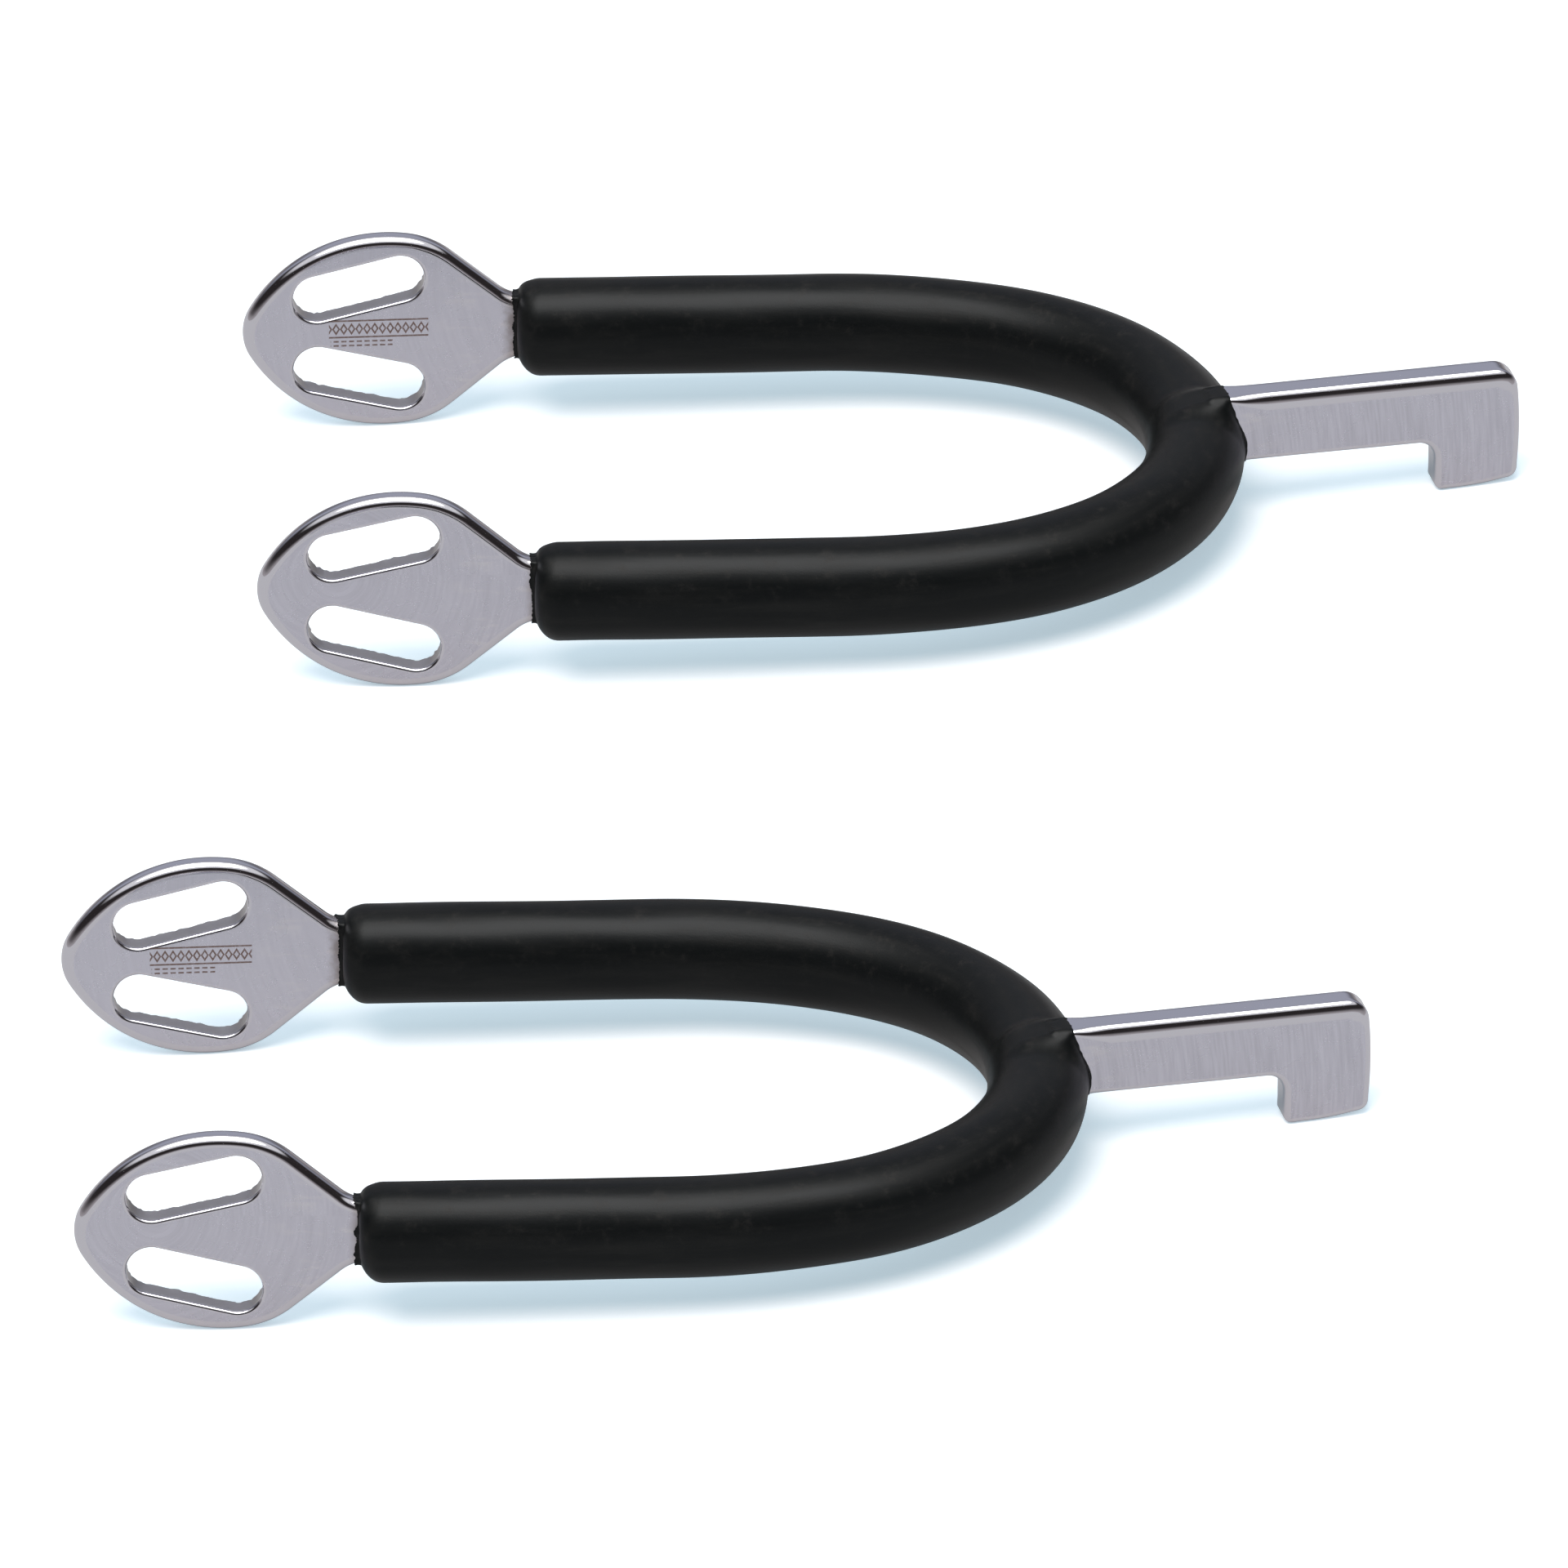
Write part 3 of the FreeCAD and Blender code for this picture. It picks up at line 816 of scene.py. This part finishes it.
sleeve = {
    "radius": 6.0, "endRounding": 3.0,
    # slow leans and dents of the tube's skin, in whole turns, fading out before its ends
    "unevenness": 0.035, "leans": (1, 7), "leanPitch": 0.031, "leanSide": 0.6,
    "dents": (2, 5), "dentPitch": 0.06, "evenEnd": 6.0,
    # the bore follows the tongue at these rings, and the rod from a little past its end
    "boreRings": (-1.2, -3.0, -6.0, -9.7), "boreGap": 0.4, "boreEase": 16.0,
    "around": 184, "columns": 320, "endRings": 18, "lipRings": 11, "rodRings": 56,
    # rings stand closer at the heel, and points round them closer at the neck and at the steel
    "heelReach": 6.0, "heelFade": 1.5, "heelDensity": 6.0, "tracedReach": 12.0,
    "neckSpan": (-22.0, -9.0), "steelSpan": 9.0, "neckDensity": 2.6,
    "neckWindow": (-0.9, -0.5, 1.9, 2.3),      # angles between which the neck comes out
    # low swelling round the neck, with a ramp up to it
    "swellWall": 0.25, "swellFrom": -3.0, "swellReach": 3.9, "swellTop": 7.35, "swellBottom": -1.0,
    "swellSlope": 0.3, "swellRounding": 0.95, "swellBlend": 3.0,
    # thin ragged lip that climbs the neck
    "neckLipWall": 0.10, "neckLipClimb": 0.2, "neckLipSpan": (1.0, 12.0), "neckLipRounding": 0.9,
    "neckLipBlend": 0.25, "neckLipSeed": 31, "neckLipWaves": (2, 9), "neckLipTeeth": (14, 44),
    "neckWaveShare": 0.5, "neckToothShare": 0.3,
    # ragged lip that climbs the plates: its waves and teeth are in whole turns round the steel
    "lipWidth": 0.34, "lipEdge": 0.09, "lipHollow": 2.2, "lipClimb": 0.4, "climbRange": (0.12, 1.7),
    "lipWaves": (1, 6), "waveShare": 0.55, "lipTeeth": (18, 70), "toothShare": 0.22,
    "topShare": 0.3, "widthWaves": (2, 12), "widthShare": 0.3,
    # how the lip's edge turns in to the steel: along it, and out from it
    "turnIn": ((0.035, 0.055), (0.02, -0.03), (-0.12, -0.05), (-0.5, -0.05)),
}
straightUp = np.array([0.0, 0.0, 1.0])


# Radius of the shoulder arc and the run along it, from the heel arc's end to the straight arm.
def shoulderArc():
    sweep = math.radians(heelBar["heelHalfSweep"])
    across = heelBar["armHalfSpacing"] - heelBar["heelRadius"] * math.sin(sweep)
    radius = across / (1 - math.sin(sweep))
    return radius, radius * (math.pi / 2 - sweep)


# Centreline of the U by signed distance from the middle of the heel: heel arc, shoulder arc
# tangent to it, then the straight arm. Gives the point and the way that faces outward.
def heelPath(distance):
    side, run = np.where(distance < 0, -1.0, 1.0), np.abs(distance)
    radius, sweep = heelBar["heelRadius"], math.radians(heelBar["heelHalfSweep"])
    shoulder, shoulderRun = shoulderArc()
    heelTurn = np.minimum(run, radius * sweep) / radius
    turn = heelTurn + np.clip(run - radius * sweep, 0, shoulderRun) / shoulder
    straight = np.maximum(run - radius * sweep - shoulderRun, 0)
    x = radius * (np.cos(heelTurn) - 1) + shoulder * (np.cos(turn) - np.cos(heelTurn)) - straight
    y = side * (radius * np.sin(heelTurn) + shoulder * (np.sin(turn) - np.sin(heelTurn)))
    zero = np.zeros_like(x)
    outward = np.stack([np.cos(turn), side * np.sin(turn), zero], axis=-1)
    return np.stack([x, y, zero], axis=-1), outward


# Distance along the centreline from the heel to the rubber's end.
def armEndDistance():
    radius, sweep = heelBar["heelRadius"], math.radians(heelBar["heelHalfSweep"])
    shoulder, shoulderRun = shoulderArc()
    joinX = radius * (math.cos(sweep) - 1) - shoulder * math.cos(sweep)
    return radius * sweep + shoulderRun + joinX + heelBar["rubberEnd"]


# Positions spaced by a density: its running total is inverted by interpolation.
def spacedBy(density, start, end, count, closed=False):
    fine = np.linspace(start, end, 4001)
    weight = density(fine)
    running = np.concatenate([[0], np.cumsum((weight[1:] + weight[:-1]) / 2)])
    return np.interp(np.linspace(0, running[-1], count, endpoint=not closed), running, fine)


filletEnd = rootFilletEnd()


# Half height of the steel where it leaves the rubber, by distance in front of the rubber's end:
# the tongue, then the hollow fillet's circle z = h + f - sqrt(f^2 - run^2).
def rootHalfHeight(ahead):
    fillet = plate["rootFillet"]
    start = fillet * math.sin(math.radians(plate["flank"])) - filletEnd
    run = np.clip(ahead + start, 0, 0.6 * fillet)
    return plate["rootHalfHeight"] + fillet - np.sqrt(fillet ** 2 - run ** 2)


# Distance from the middle of the steel's section to its skin: a superellipse of power 8.
def steelSkin(angle, ahead):
    across = np.abs(np.cos(angle)) / (plate["thickness"] / 2)
    upward = np.abs(np.sin(angle)) / rootHalfHeight(ahead)
    return (across ** 8 + upward ** 8) ** (-1 / 8)


# Signed distance to a box with rounded edges.
def roundedBox(points, low, high, radius):
    middle, half = (np.array(low) + high) / 2, (np.array(high) - low) / 2 - radius
    away = np.abs(points - middle) - half
    return (np.linalg.norm(np.maximum(away, 0), axis=-1)
            + np.minimum(away.max(axis=-1), 0) - radius)


# Two distances joined with a soft hollow of width k.
def softUnion(a, b, k):
    h = np.clip(0.5 + 0.5 * (b - a) / k, 0, 1)
    return b + (a - b) * h - k * h * (1 - h)


# The rubber at the heel as a signed distance: the tube, a low swelling round the neck, and a
# thin ragged lip that climbs the neck a little way.
def heelRubber(points):
    x, y, z = np.moveaxis(points, -1, 0)
    ring = np.hypot(x + heelBar["heelRadius"], y) - heelBar["heelRadius"]
    tube = np.hypot(ring, z) - sleeve["radius"]
    turn = math.radians(neckBar["skew"])
    onNeck = np.stack([x * math.cos(turn) + y * math.sin(turn),
                       y * math.cos(turn) - x * math.sin(turn), z], axis=-1)
    top, bottom, half = neckBar["corners"][0][1], neckBar["corners"][-1][1], neckBar["width"] / 2
    wall, reach = sleeve["swellWall"], sleeve["swellReach"]
    ramp = onNeck + straightUp * sleeve["swellSlope"] * (reach - onNeck[..., :1])
    swell = roundedBox(ramp, (sleeve["swellFrom"], -half - wall, sleeve["swellBottom"]),
                       (reach, half + wall, sleeve["swellTop"]), sleeve["swellRounding"])
    body = softUnion(tube, swell, sleeve["swellBlend"])
    wall, (first, last) = sleeve["neckLipWall"], sleeve["neckLipSpan"]
    skin = roundedBox(onNeck, (first, -half - wall, bottom - wall), (last, half + wall, top + wall),
                      sleeve["neckLipRounding"])
    around = np.arctan2(onNeck[..., 2] - (top + bottom) / 2, onNeck[..., 1] * 2)
    waves = sleeve["neckWaveShare"] * ripple(around, sleeve["neckLipSeed"], *sleeve["neckLipWaves"])
    teeth = sleeve["neckToothShare"] * ripple(around, sleeve["neckLipSeed"] + 1,
                                              *sleeve["neckLipTeeth"])
    climb = sleeve["neckLipClimb"] * (1 + waves + teeth)
    return softUnion(body, np.maximum(skin, body - climb), sleeve["neckLipBlend"])


tracing = {"from": 4.0, "stride": 0.8, "steps": 60}


# Rays leave the centreline and step by a share of the signed distance until they meet the skin.
def tracedRadius(centre, ray):
    reach = np.full(ray.shape[:-1], tracing["from"])
    for step in range(tracing["steps"]):
        reach = reach - tracing["stride"] * heelRubber(centre + ray * reach[..., None])
    return reach


# One end of the sleeve from the tube to the inside of the bore, as rings: e is the distance
# past the rubber's end, and (n, z) the place in the section. The rounded end is
# e = R (sin f - 1), r = 6 - R (1 - cos f); the lip is a hollow curve up the steel.
def sleeveEnd(angle, seed):
    radius, rounding = sleeve["radius"], sleeve["endRounding"]
    waves = sleeve["waveShare"] * ripple(angle, seed, *sleeve["lipWaves"])
    teeth = sleeve["toothShare"] * ripple(angle, seed + 1, *sleeve["lipTeeth"])
    onTop = sleeve["topShare"] * np.clip(np.sin(angle), 0, 1) ** 8
    climb = np.clip(sleeve["lipClimb"] * (1 + waves + teeth + onTop), *sleeve["climbRange"])
    widthWaves = sleeve["widthShare"] * ripple(angle, seed + 2, *sleeve["widthWaves"])
    width = sleeve["lipWidth"] * (1 + widthWaves)
    lipFoot = steelSkin(angle, 0.0) + width
    fullTurn = np.arccos(np.clip(1 - (radius - lipFoot) / rounding, 0, 1))
    flat = np.maximum(radius - rounding - lipFoot, 0)
    share = np.linspace(0, 1, sleeve["endRings"])[1:, None]
    run = share * (rounding * fullTurn + flat)
    turned = np.minimum(run / rounding, fullTurn)
    r = radius - rounding * (1 - np.cos(turned)) - np.maximum(run - rounding * fullTurn, 0)
    e = rounding * (np.sin(turned) - 1)
    shift = np.broadcast_to(easeBetween(share, 0.2, 1.0), r.shape)
    rise = np.linspace(0, 1, sleeve["lipRings"])[1:, None]
    lipE = e[-1] + (climb - e[-1]) * rise
    edge = sleeve["lipEdge"]
    lipOut = edge + (width - edge) * (1 - rise) ** sleeve["lipHollow"]
    turnAlong, turnOut = np.array(sleeve["turnIn"]).T[..., None]
    lipE = np.concatenate([lipE, lipE[-1] + turnAlong])
    lipOut = np.concatenate([lipOut, np.broadcast_to(turnOut, (len(turnOut), angle.size))])
    e, r = np.concatenate([e, lipE]), np.concatenate([r, steelSkin(angle, lipE) + lipOut])
    shift = np.concatenate([shift, np.ones_like(lipE)])
    n = r * np.cos(angle) - shift * e * math.tan(math.radians(plate["toeIn"]))
    return e, n, r * np.sin(angle) + shift * plate["rise"]


# The bore: the tongue's skin from the lip inward.
def boreEnd(angle):
    e = np.array(sleeve["boreRings"])[:, None] + 0 * angle
    r = steelSkin(angle, e)
    n = r * np.cos(angle) - e * math.tan(math.radians(plate["toeIn"]))
    return e, n, r * np.sin(angle) + plate["rise"]


# The sleeve as rings of points round a closed run: along the tube from the near end to the far
# one, over the far lip, back through the bore along the rod, and out over the near lip. Point
# (s, n, z) lies at s on the centreline, n outward and z up.
def rubberSleeve(name, seat, material, seed):
    endAt, around = armEndDistance(), sleeve["around"]
    start, end = -math.pi * 5 / 6, math.pi * 7 / 6
    even = np.linspace(start, end, around, endpoint=False)
    skinRun = lambda a: np.hypot(steelSkin(a, 0.0), np.gradient(steelSkin(a, 0.0), a))
    onSteel = spacedBy(skinRun, start, end, around, closed=True)
    a0, a1, a2, a3 = sleeve["neckWindow"]
    byNeck = lambda a: easeBetween(a, a0, a1) * easeBetween(-a, -a3, -a2)
    window = lambda a: 1 + sleeve["neckDensity"] * byNeck(a)
    onNeck = spacedBy(window, start, end, around, closed=True)
    bodyEnd = endAt - sleeve["endRounding"]
    nearHeel = lambda s: easeBetween(-np.abs(s), -sleeve["heelReach"] - sleeve["heelFade"],
                                     -sleeve["heelReach"])
    density = lambda s: 1 + sleeve["heelDensity"] * nearHeel(s)
    along = spacedBy(density, -bodyEnd, bodyEnd, sleeve["columns"])[:, None]
    neckShare = easeBetween(-np.abs(along), *sleeve["neckSpan"])
    steelShare = easeBetween(np.abs(along), bodyEnd - sleeve["steelSpan"], bodyEnd)
    angle = even + neckShare * (onNeck - even) + steelShare * (onSteel - even)

    # body of the tube: slightly uneven, and traced where it meets the neck
    leans = ripple(along * sleeve["leanPitch"], seed, *sleeve["leans"])
    dents = ripple(angle + along * sleeve["dentPitch"], seed + 4, *sleeve["dents"])
    wander = leans * np.cos(angle + sleeve["leanSide"]) + dents
    fade = easeBetween(bodyEnd - np.abs(along), 0.0, sleeve["evenEnd"])
    r = sleeve["radius"] + sleeve["unevenness"] * wander * fade
    centre, outward = heelPath(along[:, 0])
    ray = outward[:, None] * np.cos(angle)[..., None] + straightUp * np.sin(angle)[..., None]
    atHeel = np.abs(along[:, 0]) < sleeve["tracedReach"]
    r[atHeel] += tracedRadius(centre[atHeel][:, None], ray[atHeel]) - sleeve["radius"]
    body = (np.broadcast_to(along, r.shape), r * np.cos(angle), r * np.sin(angle))

    # the rod's bore starts where the tongues end
    rodEnd = endAt - plate["tongue"] - sleeve["boreGap"]
    rodRun = np.linspace(rodEnd, -rodEnd, sleeve["rodRings"])[:, None]
    rodShare = easeBetween(np.abs(rodRun), endAt - sleeve["boreEase"], rodEnd)
    rodAngle = even + rodShare * (onSteel - even)
    rod = (np.broadcast_to(rodRun, rodAngle.shape), heelBar["rodRadius"] * np.cos(rodAngle),
           heelBar["rodRadius"] * np.sin(rodAngle))

    def farSide(e, n, z):
        return endAt + e, n, z

    def nearSide(e, n, z):
        return -endAt - e[::-1], n[::-1], z[::-1]

    runs = (body, farSide(*sleeveEnd(onSteel, seed + 11)), farSide(*boreEnd(onSteel)), rod,
            nearSide(*boreEnd(onSteel)), nearSide(*sleeveEnd(onSteel, seed + 9)))
    s, n, z = (np.concatenate(parts) for parts in zip(*runs))
    centre, outward = heelPath(s)
    local = (centre + outward * n[..., None] + straightUp * z[..., None]).reshape(-1, 3)
    place = np.stack([s, n, z], axis=-1).reshape(-1, 3)
    faces = [bandFaces(len(s), around, closed=True)]
    return makePiece(name, seated(local, seat), faces, place, {}, material)


# seeds of each piece's own wear, for the left spur and the right one
wearSeeds = {"nearPlate": (50, 51), "farPlate": (70, 71), "sleeve": (100, 120)}

for number, spur in enumerate(("left", "right")):
    seat, body = spurSeat(spur), spur + "_spur"
    seeds = {piece: pair[number] for piece, pair in wearSeeds.items()}
    nearPlate = strapPlate(spur + "NearPlate", seat, -1, materials["nearPlate"], seeds["nearPlate"])
    farPlate = strapPlate(spur + "FarPlate", seat, 1, materials["farPlate"], seeds["farPlate"])
    shank = neck(spur + "Neck", seat, materials["neck"])
    cover = rubberSleeve(spur + "Sleeve", seat, materials["rubber"], seeds["sleeve"])
    made = {"near_strap_plate": (nearPlate, "plate_steel"),
            "far_strap_plate": (farPlate, "plate_steel"),
            "neck": (shank, "neck_steel"), "rubber_sleeve": (cover, "sleeve_rubber")}
    for node, (piece, slot) in made.items():
        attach(piece, body)
        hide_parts(spur + "_" + node)
        print(piece.name, len(piece.data.polygons), "faces")
    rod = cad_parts[spur + "_heel_rod"]
    rod.data.materials.clear()
    rod.data.materials.append(materials["rod"])


studio = {
    "floorSize": 30.0, "floorColour": (0.90, 0.90, 0.90, 1.0), "floorGlow": (0.30, 0.37, 0.41, 1.0),
    "floorSeenInSteel": (0.44, 0.41, 0.395),   # how bright the table is in reflections
    "fill": (0.47, 0.59, 0.67),
    "keyStrength": 2.6, "keyColour": (1.0, 0.87, 0.80), "keySize": 38.0,
    "keyFrom": (-0.20, -0.52, 1.0),
    # lamp over the table, as seen in reflections: a bright core in a dimmer, longer box
    "coreLight": 7.5, "coreEdge": (0.92, 0.96), "boxLight": 0.8, "boxEdge": (0.72, 0.86),
    "boxMiddle": (0.0, -0.12, 1.0), "boxStretch": 0.62,
    "backWall": (0.40, 0.415, 0.48), "wallSide": (0.2, 0.75), "wallRise": (0.12, 0.42),
    "dark": (0.027, 0.023, 0.023), "skirt": (0.40, 0.375, 0.375), "skirtRise": (0.0, 0.3),
}


# A flat pale table. Reflections see it darker than the camera does, by floorSeenInSteel.
def buildFloor():
    half = studio["floorSize"] / 2
    mesh = bpy.data.meshes.new("floor")
    corners = [(-half, -half, 0), (half, -half, 0), (half, half, 0), (-half, half, 0)]
    mesh.from_pydata(corners, [], [(0, 1, 2, 3)])
    floor = bpy.data.objects.new("floor", mesh)
    bpy.context.scene.collection.objects.link(floor)
    material, tree, shader = newMaterial("paleFloor", {
        "Base Color": studio["floorColour"], "Roughness": 1.0, "Specular IOR Level": 0.0,
        "Emission Color": studio["floorGlow"], "Emission Strength": 1.0})
    glossy = tree.nodes.new("ShaderNodeLightPath").outputs["Is Glossy Ray"]
    for setting, socket in (("floorColour", "Base Color"), ("floorGlow", "Emission Color")):
        dimmed = [a * b for a, b in zip(studio[setting], studio["floorSeenInSteel"])]
        colour = blendColours(tree, glossy, studio[setting], (*dimmed, 1.0))
        tree.links.new(colour, shader.inputs[socket])
    mesh.materials.append(material)


# Soft fill from everywhere, and for reflections a wide light overhead, a pale wall behind and
# dark all round below it.
def buildWorld():
    world = bpy.data.worlds.new("studio")
    bpy.context.scene.world = world
    world.use_nodes = True
    tree = world.node_tree
    tree.nodes.clear()
    around = tree.nodes.new("ShaderNodeTexCoord").outputs["Generated"]
    direction = vectorCalc(tree, "NORMALIZE", around)
    toBox = Vector(studio["boxMiddle"]).normalized()
    squeezed = vectorCalc(tree, "MULTIPLY", direction, (studio["boxStretch"], 1.0, 1.0))
    squeezed = vectorCalc(tree, "NORMALIZE", squeezed)
    facing = vectorCalc(tree, "DOT_PRODUCT", squeezed, tuple(toBox), output="Value")
    y, z = split(tree, direction)[1:3]
    wall = product(tree, ease(tree, y, *studio["wallSide"]), ease(tree, z, *studio["wallRise"]))
    aboveSkirt = ease(tree, z, *studio["skirtRise"])
    seen = blendColours(tree, aboveSkirt, (*studio["skirt"], 1.0), (*studio["dark"], 1.0))
    seen = blendColours(tree, wall, seen, (*studio["backWall"], 1.0))
    box, core = ((studio[light],) * 3 for light in ("boxLight", "coreLight"))
    seen = blendColours(tree, ease(tree, facing, *studio["boxEdge"]), seen, (*box, 1.0))
    seen = blendColours(tree, ease(tree, facing, *studio["coreEdge"]), seen, (*core, 1.0))
    glossy = tree.nodes.new("ShaderNodeLightPath").outputs["Is Glossy Ray"]
    background = tree.nodes.new("ShaderNodeBackground")
    light = blendColours(tree, glossy, (*studio["fill"], 1.0), seen)
    tree.links.new(light, background.inputs["Color"])
    tree.links.new(background.outputs[0], tree.nodes.new("ShaderNodeOutputWorld").inputs[0])
    world.cycles.sampling_method = "NONE"


# A soft warm key light that casts the shadows and doesn't show in reflections.
def buildKey():
    lamp = bpy.data.lights.new("key", "SUN")
    lamp.energy, lamp.color = studio["keyStrength"], studio["keyColour"]
    lamp.angle = math.radians(studio["keySize"])
    key = bpy.data.objects.new("key", lamp)
    key.rotation_euler = Vector(studio["keyFrom"]).to_track_quat("Z", "Y").to_euler()
    key.visible_glossy = False
    bpy.context.scene.collection.objects.link(key)


view = {
    "azimuth": -1.0, "elevation": 25.82, "roll": -2.13, "aimFromMiddle": (-0.0026, -0.0023, 0.0091),
    "distance": 6.0, "lens": 1145.0, "sensor": 36.0, "clip": (0.1, 60.0),
}


# Looks at a point near the middle of the pair from far off, with a slight roll.
def buildCamera():
    camera = bpy.data.objects.new("camera", bpy.data.cameras.new("camera"))
    bpy.context.scene.collection.objects.link(camera)
    a, e, r = (math.radians(view[key]) for key in ("azimuth", "elevation", "roll"))
    back = Vector((math.sin(a) * math.cos(e), -math.cos(a) * math.cos(e), math.sin(e)))
    right = Vector((math.cos(a), math.sin(a), 0.0))
    up = back.cross(right)
    rolledRight = right * math.cos(r) + up * math.sin(r)
    rolledUp = up * math.cos(r) - right * math.sin(r)
    low, high = (Vector(corner) for corner in cadBox)
    middle = Vector(((low.x + high.x) / 2, (low.y + high.y) / 2, low.z))
    aim = middle + Vector(view["aimFromMiddle"])
    facing = Matrix((rolledRight, rolledUp, back)).transposed().to_4x4()
    camera.matrix_world = Matrix.Translation(aim + back * view["distance"]) @ facing
    camera.data.lens, camera.data.sensor_width = view["lens"], view["sensor"]
    camera.data.clip_start, camera.data.clip_end = view["clip"]
    bpy.context.scene.camera = camera


buildFloor()
buildWorld()
buildKey()
buildCamera()
bpy.context.scene.view_settings.view_transform = "Standard"
print("studio ready")
